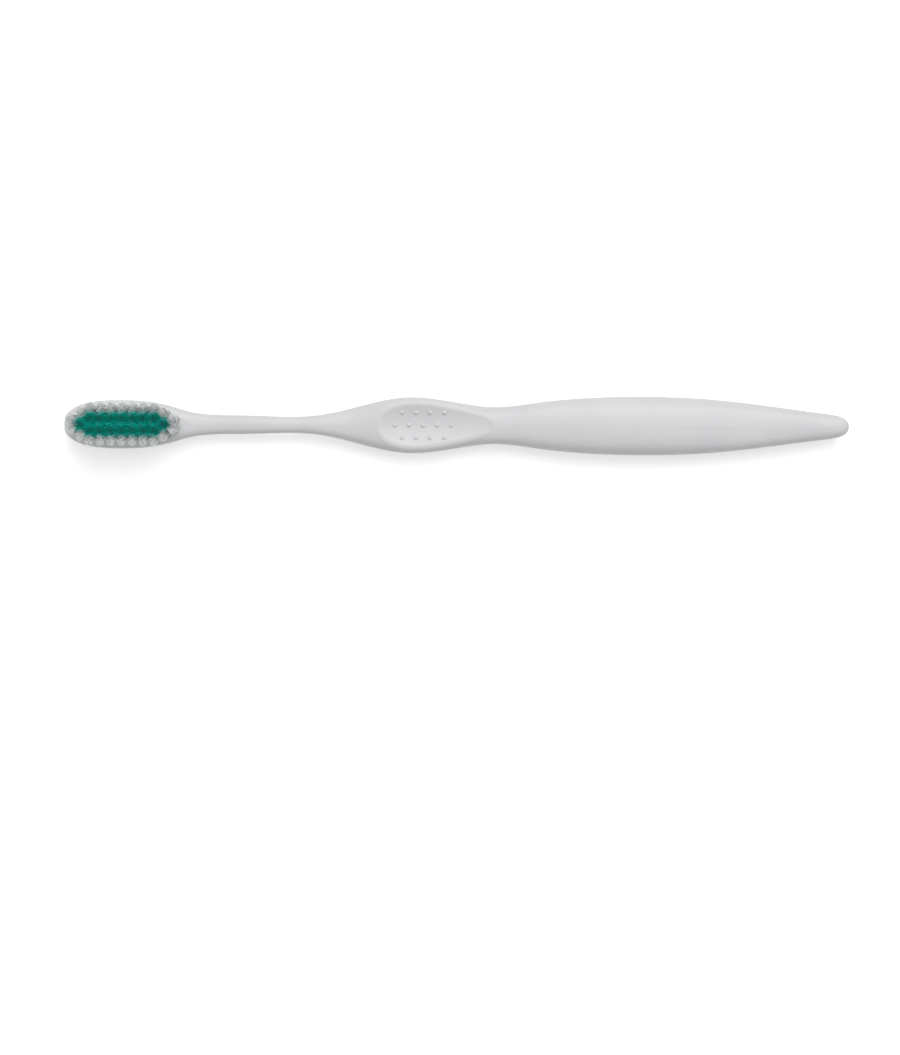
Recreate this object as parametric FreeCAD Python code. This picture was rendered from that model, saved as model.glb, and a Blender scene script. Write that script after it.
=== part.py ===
"""Manual toothbrush: a one-piece moulded handle, 38 nylon tufts, and the flat metal anchor that holds each tuft.

All lengths are millimetres. X runs from the head to the tail, Z is the way the bristles point, and the brush lies on
its back. The model is drawn from the head's nose, and moved at the end so that the origin is under its middle.
"""

import FreeCAD, Part
import math
import os
from collections import namedtuple

Vector = FreeCAD.Vector

# Tufts and their holes
HOLE_DIAMETER = 1.7
HOLE_DEPTH = 3.2
TUFT_CLEARANCE = 0.04      # between a tuft's root and the wall of its hole
TUFT_HEIGHT = 10.5         # from the head's face to the trimmed tips
TUFT_SPLAY = 0.2           # how much a tuft's radius grows from the face to the tip
TIP_ROUNDING = 0.3         # end-rounded edge of a trimmed tuft
FLUTES = 12                # outer filaments that show around a tuft
FLUTE_DEPTH = 0.12         # valley between two of them
FAN_ACROSS = 0.22          # lean of the tufts, as a share of their distance from the middle of the field
FAN_ALONG = 0.02
ROW_TUFTS = 7              # tufts in each of the four long rows
TUFT_PITCH = 2.5           # along a row
CORNER_STEP = 2.1          # last tuft of an outer row to the corner tuft, along X
CORNER_INSET = 0.9         # and how far the corner tuft stands in from that row
END_TUFT_STEP = 2.2        # last tuft of an inner row to the green end tuft on the middle line
END_PAIR_STEP = 4.3        # and to the clear pair at the end of the field

# Anchors
ANCHOR_THICKNESS = 0.26
ANCHOR_HEIGHT = 1.4
ANCHOR_BITE = 0.25         # how far each end of an anchor cuts into the wall of the hole
ANCHOR_ANGLE = 30          # degrees from the head's length
FOLD_THICKNESS = 0.4       # filament folded under an anchor

# Head
HEAD_WIDTH = 11.75
HEAD_THICKNESS = 4.8       # from the flat back to the tufted face
HEAD_LIFT = 2.6            # flat back of the head over the surface that the brush lies on
FACE_CROWN = 0.25          # crown that is trimmed off to make the flat faces
SIDE_RIM = 1.52            # head's edge to the nearest hole, across
TOE_RIM = 2.78             # head's nose to the nearest hole
HEAD_NOSE_LENGTH = 13.1    # nose to the widest section
SHOULDER_SETBACK = 1.45    # shoulder section before the last tuft
SHOULDER_WIDTH = 8.85
HEEL_LENGTH = 2.95         # last tuft to the middle of the heel, where the head runs into the neck
HEEL_WIDTH = 6.25
NOSE_POWER = 2.45          # roundness of the nose from above: 2 is an ellipse
NOSE_SIDE_POWER = 8        # and from the side, where the nose is blunt

# Neck
NECK_ROOT_LENGTH = 4.1     # heel to the root of the neck
NECK_ROOT_WIDTH = 5.0
NECK_ROOT_THICKNESS = 4.4
NECK_ROOT_LIFT = 2.75
NECK_SHAFT_LENGTH = 10.5   # root to the middle of the neck
NECK_SHAFT_WIDTH = 4.48
NECK_LENGTH = 19.7         # root to the slimmest section
NECK_WIDTH = 3.95
NECK_THICKNESS = 4.7
NECK_LIFT = 2.75
NECK_END_LENGTH = 8.5      # slimmest section to the start of the flare
NECK_END_WIDTH = 5.0
FLARE_LENGTH = 17.5        # slimmest section to the middle of the flare
FLARE_WIDTH = 9.2
FLARE_THICKNESS = 7.2
FLARE_LIFT = 1.1

# Thumb pad
PAD_RISE_LENGTH = 11.5     # flare to the widest section
PAD_WIDTH = 13.55
PAD_THICKNESS = 9.8
PAD_FALL_LENGTH = 11.6     # widest section to the middle of its fall to the waist
PAD_FALL_WIDTH = 11.3
DISH_OFFSET = 2.0          # pad's widest section to the deepest section of the dish
DISH_DEPTH = 2.5
DISH_FRONT = 10.8          # deepest section to the dish's steep end, at the level of the pad's top
DISH_BACK = 24.4           # and to the end that runs out towards the waist
DISH_RADIUS = 12.0         # across the dish
DISH_RIM = 1.3             # rounding of the dish's rim
DOT_ROWS = (4, 5, 4)
DOT_OFFSET = 3.9           # pad's widest section to the middle of the dots
DOT_PITCH = 3.42           # along a row
DOT_ROW_PITCH = 3.1
DOT_DIAMETER = 1.2
DOT_HEIGHT = 0.4

# Waist, grip and tail
WAIST_LENGTH = 21.6        # pad's widest section to the waist
WAIST_WIDTH = 8.95
WAIST_THICKNESS = 7.8
WAIST_LIFT = 1.0
GRIP_ROOT_LENGTH = 9.4     # waist to the root of the grip
GRIP_ROOT_WIDTH = 11.0
GRIP_RISE_LENGTH = 31.4    # waist to the widest section of the grip
GRIP_WIDTH = 14.15
GRIP_THICKNESS = 11.0
REST_CROWN = 0.25          # crown trimmed off under the pad and the grip, so that the brush lies still
GRIP_END_LENGTH = 23.1     # widest section to where the grip starts to taper
GRIP_END_WIDTH = 12.55
GRIP_FALL_LENGTH = 40.2    # widest section to the tail's taper
TAPER_WIDTH = 8.35
TAPER_THICKNESS = 7.2
TAPER_LIFT = 1.9
TAIL_ROOT_LENGTH = 6.6     # taper to the root of the tail
TAIL_ROOT_WIDTH = 6.65
TAIL_LENGTH = 10.4         # taper to the last full section
TAIL_WIDTH = 5.6
TAIL_THICKNESS = 5.4
TAIL_LIFT = 2.8
TAIL_NOSE_LENGTH = 3.4     # last full section to the tip

# Fullness of a section's quarter arcs: about 0.55 is an ellipse, and 1 a rectangle
HEAD_FULLNESS = 0.88
SHOULDER_FULLNESS = 0.8
NECK_FULLNESS = 0.74
PAD_FULLNESS = 0.78
GRIP_FULLNESS = 0.74
TAIL_FULLNESS = 0.62
NOSE_FULLNESS = 0.6
NOSE_STATIONS = (0.08, 0.22, 0.5)   # shares of the nose's length that get a section of their own

# Places that follow from the sizes
HOLE_RADIUS = HOLE_DIAMETER / 2
OUTER_ROW = HEAD_WIDTH / 2 - SIDE_RIM - HOLE_RADIUS
INNER_ROW = OUTER_ROW / 3
HALF_ROW = TUFT_PITCH * (ROW_TUFTS - 1) / 2
FIELD_X = TOE_RIM + HOLE_RADIUS + END_PAIR_STEP + HALF_ROW
LAST_TUFT_X = FIELD_X + HALF_ROW + END_PAIR_STEP
FACE_Z = HEAD_LIFT + HEAD_THICKNESS
FLOOR_Z = FACE_Z - HOLE_DEPTH
HEAD_X = HEAD_NOSE_LENGTH
SHOULDER_X = LAST_TUFT_X - SHOULDER_SETBACK
HEEL_X = LAST_TUFT_X + HEEL_LENGTH
NECK_ROOT_X = HEEL_X + NECK_ROOT_LENGTH
NECK_X = NECK_ROOT_X + NECK_LENGTH
FLARE_X = NECK_X + FLARE_LENGTH
PAD_X = FLARE_X + PAD_RISE_LENGTH
WAIST_X = PAD_X + WAIST_LENGTH
GRIP_X = WAIST_X + GRIP_RISE_LENGTH
TAPER_X = GRIP_X + GRIP_FALL_LENGTH
TAIL_X = TAPER_X + TAIL_LENGTH
TIP_X = TAIL_X + TAIL_NOSE_LENGTH

Section = namedtuple("Section", "x width back top fullness")
Tuft = namedtuple("Tuft", "name x y")


# Handle skin


def section(x, width, lift, thickness, fullness):
    return Section(x, width, lift, lift + thickness, fullness)


def nose_section(share):
    """A section of the rounded head, at a share of the nose's length from its tip."""
    inset = 1 - share
    wide = (1 - inset**NOSE_POWER) ** (1 / NOSE_POWER)
    thick = (1 - inset**NOSE_SIDE_POWER) ** (1 / NOSE_SIDE_POWER)
    half = (HEAD_THICKNESS / 2 + FACE_CROWN) * thick
    middle = HEAD_LIFT + HEAD_THICKNESS / 2
    return Section(HEAD_NOSE_LENGTH * share, HEAD_WIDTH * wide, middle - half, middle + half, HEAD_FULLNESS)


def between(a, b, length, width):
    """A section that only sets the outline: the rest is taken in proportion from the sections before and after."""
    share = length / (b.x - a.x)
    back, top, fullness = [p + (q - p) * share for p, q in zip(a[2:], b[2:])]
    return Section(a.x + length, width, back, top, fullness)


def handle_sections():
    nose = [nose_section(share) for share in NOSE_STATIONS]
    head = nose_section(1)
    shoulder = head._replace(x=SHOULDER_X, width=SHOULDER_WIDTH, fullness=SHOULDER_FULLNESS)
    root = section(NECK_ROOT_X, NECK_ROOT_WIDTH, NECK_ROOT_LIFT, NECK_ROOT_THICKNESS, NECK_FULLNESS)
    neck = section(NECK_X, NECK_WIDTH, NECK_LIFT, NECK_THICKNESS, NECK_FULLNESS)
    flare = section(FLARE_X, FLARE_WIDTH, FLARE_LIFT, FLARE_THICKNESS, NECK_FULLNESS)
    pad = section(PAD_X, PAD_WIDTH, -REST_CROWN, PAD_THICKNESS + REST_CROWN, PAD_FULLNESS)
    waist = section(WAIST_X, WAIST_WIDTH, WAIST_LIFT, WAIST_THICKNESS, GRIP_FULLNESS)
    grip = section(GRIP_X, GRIP_WIDTH, -REST_CROWN, GRIP_THICKNESS + REST_CROWN, GRIP_FULLNESS)
    taper = section(TAPER_X, TAPER_WIDTH, TAPER_LIFT, TAPER_THICKNESS, GRIP_FULLNESS)
    tail = section(TAIL_X, TAIL_WIDTH, TAIL_LIFT, TAIL_THICKNESS, TAIL_FULLNESS)
    heel = between(shoulder, root, HEEL_X - SHOULDER_X, HEEL_WIDTH)
    shaft = between(root, neck, NECK_SHAFT_LENGTH, NECK_SHAFT_WIDTH)
    neck_end = between(neck, flare, NECK_END_LENGTH, NECK_END_WIDTH)
    pad_fall = between(pad, waist, PAD_FALL_LENGTH, PAD_FALL_WIDTH)
    grip_root = between(waist, grip, GRIP_ROOT_LENGTH, GRIP_ROOT_WIDTH)
    grip_end = between(grip, taper, GRIP_END_LENGTH, GRIP_END_WIDTH)
    tail_root = between(taper, tail, TAIL_ROOT_LENGTH, TAIL_ROOT_WIDTH)
    front = [*nose, head, shoulder, heel, root, shaft, neck, neck_end, flare, pad]
    back = [pad_fall, waist, grip_root, grip, grip_end, taper, tail_root, tail]
    return front + back, [head, neck, grip_root, taper]


def ring(s):
    """The 12 control points of a section: four quarter arcs, from its right edge over the top and round the back."""
    half = s.width / 2
    middle = (s.back + s.top) / 2
    rise = (s.top - s.back) / 2
    corner = [(1, 0), (1, s.fullness), (s.fullness, 1), (0, 1), (-s.fullness, 1), (-1, s.fullness)]
    points = corner + [(-across, -up) for across, up in corner]
    return [Vector(s.x, half * across, middle + rise * up) for across, up in points]


def spline_slopes(points, knots, first, last):
    """Slopes of the curvature-continuous cubic through the points, with the end slopes given."""
    gaps = [b - a for a, b in zip(knots, knots[1:])]
    steps = [(b - a) * (1 / gap) for a, b, gap in zip(points, points[1:], gaps)]
    weights, slopes = [0.0], [first]
    for i in range(1, len(points) - 1):
        before, after = gaps[i - 1], gaps[i]
        pull = (steps[i - 1] * after + steps[i] * before) * 3
        scale = 2 * (before + after) - after * weights[-1]
        slopes.append((pull - slopes[-1] * after) * (1 / scale))
        weights.append(before / scale)
    slopes.append(last)
    for i in range(len(points) - 2, 0, -1):
        slopes[i] = slopes[i] - slopes[i + 1] * weights[i]
    return slopes


def spline_spans(points, knots, first, last):
    """The four control points of each cubic span of the spline through the points."""
    slopes = spline_slopes(points, knots, first, last)
    spans = []
    for i in range(len(points) - 1):
        third = (knots[i + 1] - knots[i]) / 3
        spans.append([points[i], points[i] + slopes[i] * third, points[i + 1] - slopes[i + 1] * third, points[i + 1]])
    return spans


def closed_solid(faces):
    shell = Part.makeShell(faces)
    shell.sewShape()
    return Part.makeSolid(Part.Shell(shell.Faces))


def quarter_face(spans, knots):
    """One quarter of a stretch of the skin, from the spans of its four control lines."""
    net = []
    for line in spans:
        inner = [point for span in line for point in span[1:3]]
        net.append([line[0][0], *inner, line[-1][3]])
    mults = [4] + [2] * (len(knots) - 2) + [4]
    surface = Part.BSplineSurface()
    surface.buildFromPolesMultsKnots(net, [4, 4], mults, [0.0, 1.0], knots, False, False, 3, 3)
    return surface.toShape()


def skin(sections, nose, tip, breaks):
    """A closed solid through the sections, with round ends at nose and tip, and seams at the sections in breaks."""
    nose_reach = sections[0].x - nose.x
    tip_reach = tip.x - sections[-1].x
    knots = [0.0, 3 * NOSE_FULLNESS * nose_reach]
    for a, b in zip(sections, sections[1:]):
        knots.append(knots[-1] + b.x - a.x)
    knots.append(knots[-1] + 3 * TAIL_FULLNESS * tip_reach)
    lines = []
    for around in zip(*[ring(s) for s in sections]):
        first = Vector(0, around[0].y - nose.y, around[0].z - nose.z) * (1 / nose_reach)
        last = Vector(0, tip.y - around[-1].y, tip.z - around[-1].z) * (1 / tip_reach)
        lines.append(spline_spans([nose, *around, tip], knots, first, last))
    ends = [0] + [sections.index(s) + 1 for s in breaks] + [len(knots) - 1]
    faces = []
    for first, last in zip(ends, ends[1:]):
        for quarter in range(0, len(lines), 3):
            spans = [lines[(quarter + j) % len(lines)][first:last] for j in range(4)]
            faces.append(quarter_face(spans, knots[first : last + 1]))
    return closed_solid(faces)


def handle_blank():
    """The moulded body before its flats, dish, dots and holes."""
    middle = HEAD_LIFT + HEAD_THICKNESS / 2
    tail_middle = TAIL_LIFT + TAIL_THICKNESS / 2
    sections, breaks = handle_sections()
    return skin(sections, Vector(0, 0, middle), Vector(TIP_X, 0, tail_middle), breaks)


# Head


def rest_trim():
    """The block under the brush, which leaves a flat on the pad's belly and on the grip's."""
    return Part.makeBox(TIP_X, 2 * GRIP_WIDTH, GRIP_THICKNESS, Vector(0, -GRIP_WIDTH, -GRIP_THICKNESS))


def head_trims():
    """Blocks that leave the head's tufted face and its back flat."""
    length = NECK_ROOT_X
    width = 2 * HEAD_WIDTH
    depth = HEAD_THICKNESS
    corner = Vector(0, -HEAD_WIDTH, 0)
    over = Part.makeBox(length, width, depth, corner + Vector(0, 0, FACE_Z))
    under = Part.makeBox(length, width, depth, corner + Vector(0, 0, HEAD_LIFT - depth))
    return [over, under]


def tuft_layout():
    """Name and place of each tuft: two green rows and an end tuft at toe and heel, inside a ring of clear tufts."""
    tufts = []
    for side, sign in (("left", 1), ("right", -1)):
        for k in range(ROW_TUFTS):
            x = FIELD_X - HALF_ROW + k * TUFT_PITCH
            tufts.append(Tuft(f"green_{side}_tuft_{k + 1}", x, sign * INNER_ROW))
            tufts.append(Tuft(f"clear_{side}_tuft_{k + 1}", x, sign * OUTER_ROW))
    for end, way in (("toe", -1), ("heel", 1)):
        row_end = FIELD_X + way * HALF_ROW
        tufts.append(Tuft(f"green_{end}_tuft", row_end + way * END_TUFT_STEP, 0))
        for side, sign in (("left", 1), ("right", -1)):
            corner_y = sign * (OUTER_ROW - CORNER_INSET)
            tufts.append(Tuft(f"clear_{end}_corner_{side}_tuft", row_end + way * CORNER_STEP, corner_y))
            tufts.append(Tuft(f"clear_{end}_{side}_tuft", row_end + way * END_PAIR_STEP, sign * INNER_ROW))
    return tufts


def tuft_hole(tuft):
    return Part.makeCylinder(HOLE_RADIUS, HOLE_DEPTH, Vector(tuft.x, tuft.y, FLOOR_Z))


def anchor(tuft):
    """The flat blade across the fold of a tuft, longer than the hole is wide."""
    length = HOLE_DIAMETER + 2 * ANCHOR_BITE
    blade = Part.makeBox(
        length, ANCHOR_THICKNESS, ANCHOR_HEIGHT, Vector(-length / 2, -ANCHOR_THICKNESS / 2, FOLD_THICKNESS)
    )
    blade.rotate(Vector(0, 0, 0), Vector(0, 0, 1), ANCHOR_ANGLE)
    blade.translate(Vector(tuft.x, tuft.y, FLOOR_Z))
    return blade


# Thumb pad


def dish_lowest():
    return Vector(PAD_X + DISH_OFFSET, 0, PAD_THICKNESS - DISH_DEPTH)


def dish_sweep_radius(length):
    """Radius of the dish along the pad, from its depth and the length of one half."""
    return (length**2 + DISH_DEPTH**2) / (2 * DISH_DEPTH)


def dish_half(length, side):
    """One half of the dish: the outside of a ring, round across and arched along the pad."""
    sweep = dish_sweep_radius(length)
    lowest = dish_lowest()
    ring = Part.makeTorus(sweep - DISH_RADIUS, DISH_RADIUS, lowest + Vector(0, 0, sweep), Vector(0, 1, 0))
    corner = lowest + Vector(min(side * length, 0), -DISH_RADIUS, -DISH_DEPTH)
    return ring.common(Part.makeBox(length, 2 * DISH_RADIUS, DISH_DEPTH + DISH_RADIUS, corner))


def grip_dots():
    """Raised domes in staggered rows, standing on the dish."""
    base = DOT_DIAMETER / 2
    ball = (base**2 + DOT_HEIGHT**2) / (2 * DOT_HEIGHT)
    dots = []
    for row, count in enumerate(DOT_ROWS):
        y = (row - (len(DOT_ROWS) - 1) / 2) * DOT_ROW_PITCH
        for k in range(count):
            x = DOT_OFFSET - DISH_OFFSET + (k - (count - 1) / 2) * DOT_PITCH
            sweep = dish_sweep_radius(DISH_FRONT if x < 0 else DISH_BACK)
            reach = sweep - DISH_RADIUS + math.sqrt(DISH_RADIUS**2 - y**2)
            surface = sweep - math.sqrt(reach**2 - x**2)
            centre = dish_lowest() + Vector(x, y, surface + DOT_HEIGHT - ball)
            dots.append(Part.makeSphere(ball, centre))
    return dots


# Pieces


def rounded_rim(body):
    """Rounds the edges where the dish meets the moulded skin."""
    dish = [face for face in body.Faces if face.Surface.TypeId == "Part::GeomToroid"]
    inner = [edge for face in dish for edge in face.Edges]
    rim = [edge for edge in inner if sum(edge.isSame(other) for other in inner) == 1]
    return body.makeFillet(DISH_RIM, rim)


def handle(tufts, anchors):
    body = handle_blank().cut([rest_trim(), *head_trims()])
    body = rounded_rim(body.cut([dish_half(DISH_FRONT, -1), dish_half(DISH_BACK, 1)]))
    body = body.fuse(grip_dots())
    return body.cut([tuft_hole(t) for t in tufts] + anchors)


def tuft_ring(x, y, z, radius):
    """The fluted outline of a tuft: an outer filament, a valley, and so on round."""
    valley = 1 - FLUTE_DEPTH / HOLE_RADIUS
    points = []
    for k in range(2 * FLUTES):
        angle = math.pi * k / FLUTES
        reach = radius * valley if k % 2 else radius
        points.append(Vector(x + reach * math.cos(angle), y + reach * math.sin(angle), z))
    return points


def flat_face(*points):
    return Part.Face(Part.makePolygon([*points, points[0]]))


def tuft_body(tuft, blade):
    """A folded bundle: straight in its hole, then splaying and leaning outwards to the trimmed tip."""
    root = HOLE_RADIUS - TUFT_CLEARANCE
    tip = root + TUFT_SPLAY
    lean_x = FAN_ALONG * (tuft.x - FIELD_X)
    lean_y = FAN_ACROSS * tuft.y
    share = 1 - TIP_ROUNDING / TUFT_HEIGHT
    rings = [
        tuft_ring(tuft.x, tuft.y, FLOOR_Z, root),
        tuft_ring(tuft.x, tuft.y, FACE_Z, root),
        tuft_ring(tuft.x + lean_x * share, tuft.y + lean_y * share, FACE_Z + TUFT_HEIGHT * share, tip),
        tuft_ring(tuft.x + lean_x, tuft.y + lean_y, FACE_Z + TUFT_HEIGHT, tip - TIP_ROUNDING),
    ]
    faces = [flat_face(*rings[0]), flat_face(*rings[-1])]
    for low, high in zip(rings, rings[1:]):
        for k in range(len(low)):
            faces.append(flat_face(low[k - 1], low[k], high[k], high[k - 1]))
    return closed_solid(faces).cut(blade)


def main():
    os.makedirs("parts", exist_ok=True)
    tufts = tuft_layout()
    anchors = [anchor(t) for t in tufts]
    pieces = {"handle": handle(tufts, anchors), "anchors": Part.makeCompound(anchors)}
    for tuft, blade in zip(tufts, anchors):
        pieces[tuft.name] = tuft_body(tuft, blade)
    box = pieces["handle"].optimalBoundingBox(False, False)
    origin = Vector((box.XMin + box.XMax) / 2, 0, box.ZMin)
    for name, shape in pieces.items():
        shape.translate(-origin)
        shape.exportStep(f"parts/{name}.step")
    print(f"overall length {box.XLength:.2f}, width {box.YLength:.2f}, handle height {box.ZLength:.2f}")


main()
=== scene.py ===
"""A white manual toothbrush on a white table: the moulded handle is the frame's own solid, and each tuft is
rebuilt as a bundle of separate nylon filaments. Lengths are metres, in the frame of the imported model."""

import math
import random

import bpy
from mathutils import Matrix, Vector


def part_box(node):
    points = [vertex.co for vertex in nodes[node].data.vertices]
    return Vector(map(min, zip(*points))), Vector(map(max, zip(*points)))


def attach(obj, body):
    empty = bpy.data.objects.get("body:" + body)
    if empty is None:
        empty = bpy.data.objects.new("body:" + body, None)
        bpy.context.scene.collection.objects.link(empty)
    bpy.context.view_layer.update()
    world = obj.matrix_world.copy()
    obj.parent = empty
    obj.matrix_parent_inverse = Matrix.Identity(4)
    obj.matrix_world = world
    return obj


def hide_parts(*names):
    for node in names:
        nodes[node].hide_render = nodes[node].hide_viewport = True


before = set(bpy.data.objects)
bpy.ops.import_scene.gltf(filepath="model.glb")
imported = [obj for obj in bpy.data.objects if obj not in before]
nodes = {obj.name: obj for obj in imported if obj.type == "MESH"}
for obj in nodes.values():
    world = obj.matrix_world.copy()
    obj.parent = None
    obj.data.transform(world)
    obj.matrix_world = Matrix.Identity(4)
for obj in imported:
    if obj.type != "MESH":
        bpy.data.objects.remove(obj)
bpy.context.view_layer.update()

MM = 0.001

# Camera: straight down from over the brush. The frame is shifted so that the brush lies above its middle, and
# turned a little, as the brush lies in the picture
IMAGE_HEIGHT = 1055
FOCAL_PIXELS = 2376
SENSOR = 36.0
CAMERA_AT = (-1.6 * MM, -3.0 * MM, 581 * MM)
CAMERA_SHIFT = -0.0851
CAMERA_TURN = math.radians(0.2)

# Filaments
FILAMENTS = 110           # in a tuft
FILAMENT_RADIUS = 0.09 * MM
FILAMENT_SIDES = 6
FREE_RINGS = 6            # along the free length, for the bend
TRIM_SPREAD = 0.12 * MM   # unevenness of the trimmed tips
BEND_SPREAD = 0.08 * MM   # how far a filament strays from its line half-way up
TIP_SPREAD = 0.08 * MM    # and at its tip
FLARE_ALONG = {"green": 0.85 * MM, "clear": 0.5 * MM}   # how far the outermost filaments lean along a row
FLARE_ACROSS = {"green": 1.1 * MM, "clear": 0.9 * MM}   # and across it
FLARE_START = 0.3         # share of a tuft's radius where the flare starts
TIP_FALL = 0.75           # how much lower a tip ends, for the distance that it leans across or strays
PAINTED_DARK_TIP = 0.28 * MM      # length at a filament's top that has the painted dark tip colour, painted shade
TIP_FADE = 0.25 * MM      # length over which that colour fades
TIP_NOISE = 0.3           # how far noise moves the fade, as a share of its length
END_DROP = 0.3            # last ring below the end of a filament, in radii
END_NARROW = 0.72         # and its radius, in the same measure
LEVEL_MARGIN = 0.01 * MM  # vertices within this height belong to one ring of a tuft's solid
TIP_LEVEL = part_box("green_toe_tuft")[1][2]
GOLDEN_ANGLE = math.pi * (3 - math.sqrt(5))

# Values that materials share
NOISE_LOW = 0.3           # part of a noise's range that a colour runs over
NOISE_HIGH = 0.7
FILAMENT_GRAIN = 2500     # scale of the noise on filaments
NYLON_IOR = 1.53
WHITE = (1, 1, 1, 1)

# Studio: one large lamp beyond the brush and an even sky
KEY_AT = (0.14, 0.51, 0.81)
KEY_SIZE = 0.8
KEY_WATTS = 5.8
SKY = 0.48
FLOOR_SIZE = 3
FLOOR_SHADE = 0.95        # how strongly the floor shows a shadow
FLOOR_LIFT = 0.42         # what keeps it white in the picture
FLOOR_BOUNCE = 0.5        # what it throws back on the brush

random.seed(38)


# Materials


def new_material(name):
    material = bpy.data.materials.new(name)
    material.use_nodes = True
    tree = material.node_tree
    return material, tree, tree.nodes["Principled BSDF"]


def noise(tree, scale, detail):
    """Noise in object space, so that it is fixed to the piece at a real size."""
    place = tree.nodes.new("ShaderNodeTexCoord")
    texture = tree.nodes.new("ShaderNodeTexNoise")
    texture.inputs["Scale"].default_value = scale
    texture.inputs["Detail"].default_value = detail
    tree.links.new(place.outputs["Object"], texture.inputs["Vector"])
    return texture


def vary_colour(tree, shader, texture, low, high):
    ramp = tree.nodes.new("ShaderNodeValToRGB")
    ramp.color_ramp.elements[0].position = NOISE_LOW
    ramp.color_ramp.elements[0].color = (*low, 1)
    ramp.color_ramp.elements[1].position = NOISE_HIGH
    ramp.color_ramp.elements[1].color = (*high, 1)
    tree.links.new(texture.outputs["Fac"], ramp.inputs["Fac"])
    tree.links.new(ramp.outputs["Color"], shader.inputs["Base Color"])


def vary_roughness(tree, shader, texture, low, high):
    spread = tree.nodes.new("ShaderNodeMapRange")
    spread.inputs["To Min"].default_value = low
    spread.inputs["To Max"].default_value = high
    tree.links.new(texture.outputs["Fac"], spread.inputs["Value"])
    tree.links.new(spread.outputs["Result"], shader.inputs["Roughness"])


def add_bump(tree, shader, texture, strength, height):
    bump = tree.nodes.new("ShaderNodeBump")
    bump.inputs["Strength"].default_value = strength
    bump.inputs["Distance"].default_value = height
    tree.links.new(texture.outputs["Fac"], bump.inputs["Height"])
    tree.links.new(bump.outputs["Normal"], shader.inputs["Normal"])


def handle_plastic():
    """White polypropylene from a polished mould: satin, a little translucent, with faint flow mottling."""
    material, tree, shader = new_material("handle_plastic")
    vary_colour(tree, shader, noise(tree, 90, 3), (0.675, 0.675, 0.69), (0.71, 0.71, 0.72))
    vary_roughness(tree, shader, noise(tree, 400, 2), 0.34, 0.44)
    add_bump(tree, shader, noise(tree, 5000, 2), 0.06, 0.02 * MM)
    shader.inputs["IOR"].default_value = 1.49
    shader.inputs["Specular IOR Level"].default_value = 0.4
    shader.inputs["Subsurface Weight"].default_value = 0.12
    shader.inputs["Subsurface Radius"].default_value = (1.0, 0.95, 0.9)
    shader.inputs["Subsurface Scale"].default_value = 0.8 * MM
    return material


def painted_light_along_filament(tree, shader, texture, stem, tip):
    """Painted light and shade along a filament: its colour runs from the stem's, painted brighter for light
    carried down the nylon, to the darker tip colour at its top, painted shade, broken up by the noise.
    """
    place = tree.nodes.new("ShaderNodeTexCoord")
    split = tree.nodes.new("ShaderNodeSeparateXYZ")
    tree.links.new(place.outputs["Object"], split.inputs["Vector"])
    # painted shade from this height up to the top of the tufts, painted light below it
    height = tree.nodes.new("ShaderNodeMapRange")
    height.inputs["From Min"].default_value = TIP_LEVEL - PAINTED_DARK_TIP - TIP_FADE
    height.inputs["From Max"].default_value = TIP_LEVEL - PAINTED_DARK_TIP
    tree.links.new(split.outputs["Z"], height.inputs["Value"])
    shift = tree.nodes.new("ShaderNodeMapRange")
    shift.inputs["To Min"].default_value = -TIP_NOISE
    shift.inputs["To Max"].default_value = TIP_NOISE
    tree.links.new(texture.outputs["Fac"], shift.inputs["Value"])
    total = tree.nodes.new("ShaderNodeMath")
    tree.links.new(height.outputs["Result"], total.inputs[0])
    tree.links.new(shift.outputs["Result"], total.inputs[1])
    ramp = tree.nodes.new("ShaderNodeValToRGB")
    ramp.color_ramp.elements[0].color = (*stem, 1)
    ramp.color_ramp.elements[1].color = (*tip, 1)
    tree.links.new(total.outputs["Value"], ramp.inputs["Fac"])
    tree.links.new(ramp.outputs["Color"], shader.inputs["Base Color"])


def green_nylon():
    """Dyed filament, green all through: the deep green at its top is painted shade, and the brighter green down
    its length is painted light.
    """
    material, tree, shader = new_material("green_nylon")
    grain = noise(tree, FILAMENT_GRAIN, 2)
    # painted light in the bright stem colour, painted shade in the dark tip colour
    painted_light_along_filament(tree, shader, grain, (0.010, 0.90, 0.78), (0.003, 0.155, 0.13))
    vary_roughness(tree, shader, noise(tree, FILAMENT_GRAIN, 2), 0.45, 0.6)
    shader.inputs["IOR"].default_value = NYLON_IOR
    shader.inputs["Specular IOR Level"].default_value = 0.2
    return material


def clear_nylon():
    """Undyed filament: colourless and milky, and a little greyer at its top, which is painted shade."""
    material, tree, shader = new_material("clear_nylon")
    grain = noise(tree, FILAMENT_GRAIN, 2)
    # painted shade: the tip colour is a little greyer than the stem's
    painted_light_along_filament(tree, shader, grain, (0.95, 0.97, 0.965), (0.88, 0.91, 0.91))
    vary_roughness(tree, shader, noise(tree, FILAMENT_GRAIN, 2), 0.2, 0.34)
    shader.inputs["IOR"].default_value = NYLON_IOR
    shader.inputs["Subsurface Weight"].default_value = 0.2
    shader.inputs["Subsurface Radius"].default_value = (1.0, 1.0, 1.0)
    shader.inputs["Subsurface Scale"].default_value = 0.3 * MM
    return material


def anchor_brass():
    """Drawn and clipped strip, a little dull."""
    material, tree, shader = new_material("anchor_brass")
    vary_colour(tree, shader, noise(tree, 1500, 2), (0.55, 0.38, 0.14), (0.68, 0.50, 0.22))
    vary_roughness(tree, shader, noise(tree, 3000, 2), 0.28, 0.4)
    shader.inputs["Metallic"].default_value = 1.0
    return material


# Tufts


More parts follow.
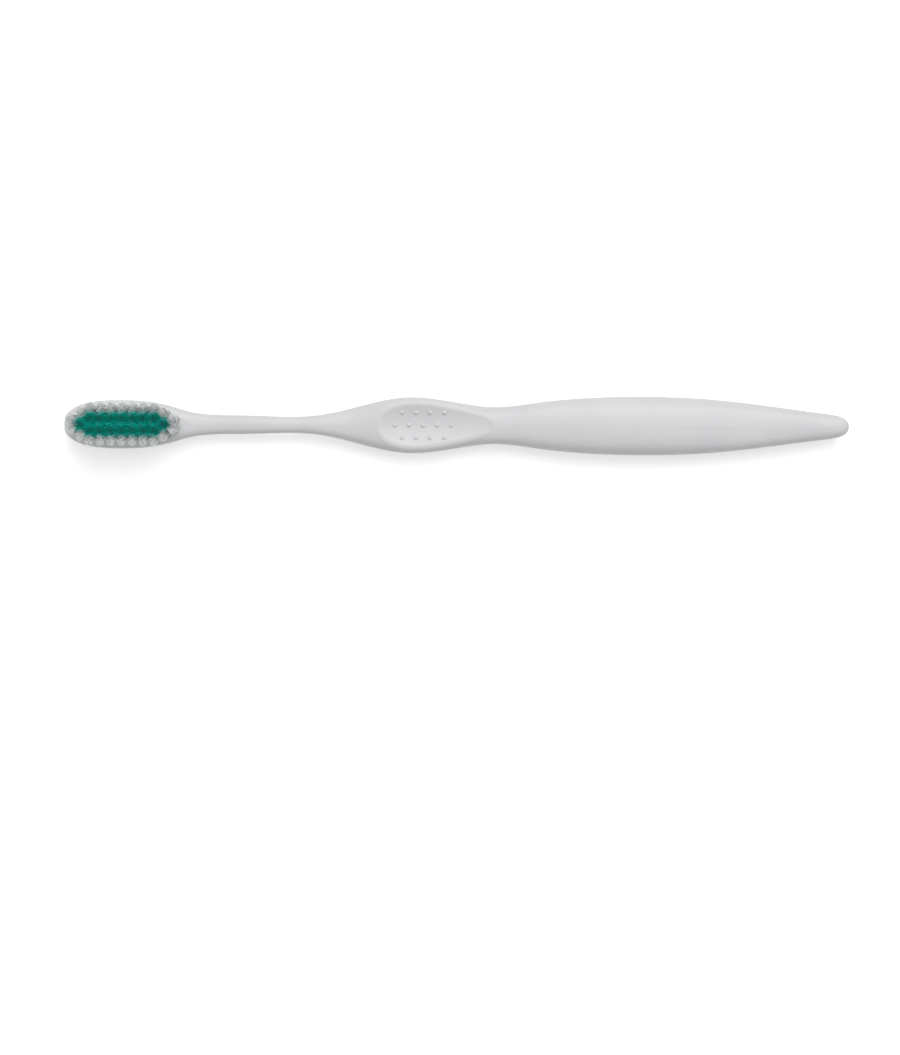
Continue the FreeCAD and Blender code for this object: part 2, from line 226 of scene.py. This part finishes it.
def tuft_form(node):
    """Reads a tuft's solid: the level of its root, and its centre and radius at the head's face and its tip."""
    points = [v.co for v in nodes[node].data.vertices]
    levels = sorted({round(p.z, 6) for p in points})
    middle = (levels[0] + levels[-1]) / 2
    face = max(z for z in levels if z < middle)
    shoulder = min(z for z in levels if z > middle)

    def ring(level):
        around = [p for p in points if abs(p.z - level) < LEVEL_MARGIN]
        low = Vector([min(p[i] for p in around) for i in range(3)])
        high = Vector([max(p[i] for p in around) for i in range(3)])
        return (low + high) / 2, (high.x - low.x) / 2

    base, base_radius = ring(face)
    tip, tip_radius = ring(shoulder)
    tip.z = levels[-1]
    return levels[0], base, base_radius, tip, tip_radius


def filament_line(floor, base, base_radius, tip, tip_radius, kind, k):
    """Centre line of filament k of a tuft: straight in its hole, then splaying and bending a little to its tip.
    Outer filaments lean out at the tip, those of a clear tuft only where they face the middle of the head."""
    share = math.sqrt((k + 0.5) / FILAMENTS)
    angle = k * GOLDEN_ANGLE
    out = Vector((math.cos(angle), math.sin(angle), 0)) * share
    start = base + out * (base_radius - FILAMENT_RADIUS)
    stray = Vector((random.gauss(0, 1), random.gauss(0, 1), 0))
    flare = (max(share - FLARE_START, 0) / (1 - FLARE_START)) ** 2
    if kind == "clear" and base.y * out.y > 0:
        flare = 0
    along = out.x * flare * FLARE_ALONG[kind]
    across = out.y * flare * FLARE_ACROSS[kind]
    end = tip + out * (tip_radius - FILAMENT_RADIUS) + Vector((along, across, 0)) + stray * TIP_SPREAD
    fall = (abs(across) + stray.length * TIP_SPREAD) * TIP_FALL
    end.z -= fall + random.uniform(0, TRIM_SPREAD)
    bend = Vector((random.gauss(0, 1), random.gauss(0, 1), 0)) * BEND_SPREAD
    line = [Vector((start.x, start.y, floor)), start]
    for i in range(1, FREE_RINGS + 1):
        t = i / FREE_RINGS
        line.append(start.lerp(end, t) + bend * math.sin(math.pi * t))
    return line


def filament_mesh(line, verts, faces):
    """Adds a round filament along the line, with a rounded end."""
    rings = [(point, FILAMENT_RADIUS) for point in line[:-1]]
    end = line[-1]
    rings.append((end - Vector((0, 0, FILAMENT_RADIUS)), FILAMENT_RADIUS))
    rings.append((end - Vector((0, 0, END_DROP * FILAMENT_RADIUS)), END_NARROW * FILAMENT_RADIUS))
    first = len(verts)
    for point, radius in rings:
        for j in range(FILAMENT_SIDES):
            angle = 2 * math.pi * j / FILAMENT_SIDES
            verts.append(point + Vector((radius * math.cos(angle), radius * math.sin(angle), 0)))
    for r in range(len(rings) - 1):
        for j in range(FILAMENT_SIDES):
            a = first + r * FILAMENT_SIDES + j
            b = first + r * FILAMENT_SIDES + (j + 1) % FILAMENT_SIDES
            faces.append((a, b, b + FILAMENT_SIDES, a + FILAMENT_SIDES))
    last = first + (len(rings) - 1) * FILAMENT_SIDES
    verts.append(end)
    for j in range(FILAMENT_SIDES):
        faces.append((last + j, last + (j + 1) % FILAMENT_SIDES, len(verts) - 1))


def make_tuft(node, material, kind):
    """Replaces one tuft's solid by its filaments."""
    verts, faces = [], []
    form = tuft_form(node)
    for k in range(FILAMENTS):
        filament_mesh(filament_line(*form, kind, k), verts, faces)
    mesh = bpy.data.meshes.new(f"{node}_filaments")
    mesh.from_pydata(verts, [], faces)
    mesh.shade_smooth()
    mesh.materials.append(material)
    tuft = bpy.data.objects.new(f"{node}_filaments", mesh)
    bpy.context.scene.collection.objects.link(tuft)
    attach(tuft, "root")
    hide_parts(node)


# Studio


def seen_rays(tree):
    """1 where a surface is seen by the camera, in a reflection or through a clear piece, and 0 elsewhere."""
    rays = tree.nodes.new("ShaderNodeLightPath")
    seen = rays.outputs["Is Camera Ray"]
    for kind in ("Is Glossy Ray", "Is Transmission Ray"):
        either = tree.nodes.new("ShaderNodeMath")
        either.operation = "MAXIMUM"
        tree.links.new(seen, either.inputs[0])
        tree.links.new(rays.outputs[kind], either.inputs[1])
        seen = either.outputs["Value"]
    return seen


def by_rays(tree, seen, socket, low, high):
    """Sets a socket to the low value where the surface only lights, and to the high one where it is seen."""
    level = tree.nodes.new("ShaderNodeMapRange")
    level.inputs["To Min"].default_value = low
    level.inputs["To Max"].default_value = high
    tree.links.new(seen, level.inputs["Value"])
    tree.links.new(level.outputs["Result"], socket)


def make_floor():
    """A table top that is white to the camera and in reflections, and takes a shadow."""
    bpy.ops.mesh.primitive_plane_add(size=FLOOR_SIZE)
    floor = bpy.context.object
    floor.name = "floor"
    material, tree, shader = new_material("floor_white")
    shader.inputs["Roughness"].default_value = 0.9
    shader.inputs["Specular IOR Level"].default_value = 0.1
    shader.inputs["Emission Color"].default_value = WHITE
    seen = seen_rays(tree)
    by_rays(tree, seen, shader.inputs["Base Color"], FLOOR_BOUNCE, FLOOR_SHADE)
    by_rays(tree, seen, shader.inputs["Emission Strength"], 0, FLOOR_LIFT)
    floor.data.materials.append(material)


def area_light(name, place, size, watts):
    light = bpy.data.lights.new(name, "AREA")
    light.size = size
    light.energy = watts
    lamp = bpy.data.objects.new(name, light)
    lamp.location = place
    lamp.rotation_euler = (-Vector(place)).to_track_quat("-Z", "Y").to_euler()
    bpy.context.scene.collection.objects.link(lamp)


def make_studio():
    make_floor()
    area_light("key", KEY_AT, KEY_SIZE, KEY_WATTS)
    world = bpy.data.worlds.new("studio")
    world.use_nodes = True
    tree = world.node_tree
    sky = tree.nodes["Background"]
    sky.inputs["Color"].default_value = WHITE
    by_rays(tree, seen_rays(tree), sky.inputs["Strength"], SKY, 1)
    bpy.context.scene.world = world
    bpy.context.scene.view_settings.view_transform = "Standard"


def make_camera():
    camera = bpy.data.cameras.new("camera")
    camera.sensor_fit = "VERTICAL"
    camera.sensor_height = SENSOR
    camera.lens = SENSOR * FOCAL_PIXELS / IMAGE_HEIGHT
    camera.shift_y = CAMERA_SHIFT
    view = bpy.data.objects.new("camera", camera)
    view.location = CAMERA_AT
    view.rotation_euler.z = CAMERA_TURN
    bpy.context.scene.collection.objects.link(view)
    bpy.context.scene.camera = view


def dress(node, material):
    """Puts a material on one of the frame's own solids."""
    slots = nodes[node].data.materials
    slots.clear()
    slots.append(material)


def main():
    make_camera()
    make_studio()
    dress("handle", handle_plastic())
    dress("anchors", anchor_brass())
    finishes = {"green": green_nylon(), "clear": clear_nylon()}
    for node in sorted(nodes):
        kind = node.split("_")[0]
        if kind in finishes:
            make_tuft(node, finishes[kind], kind)


main()
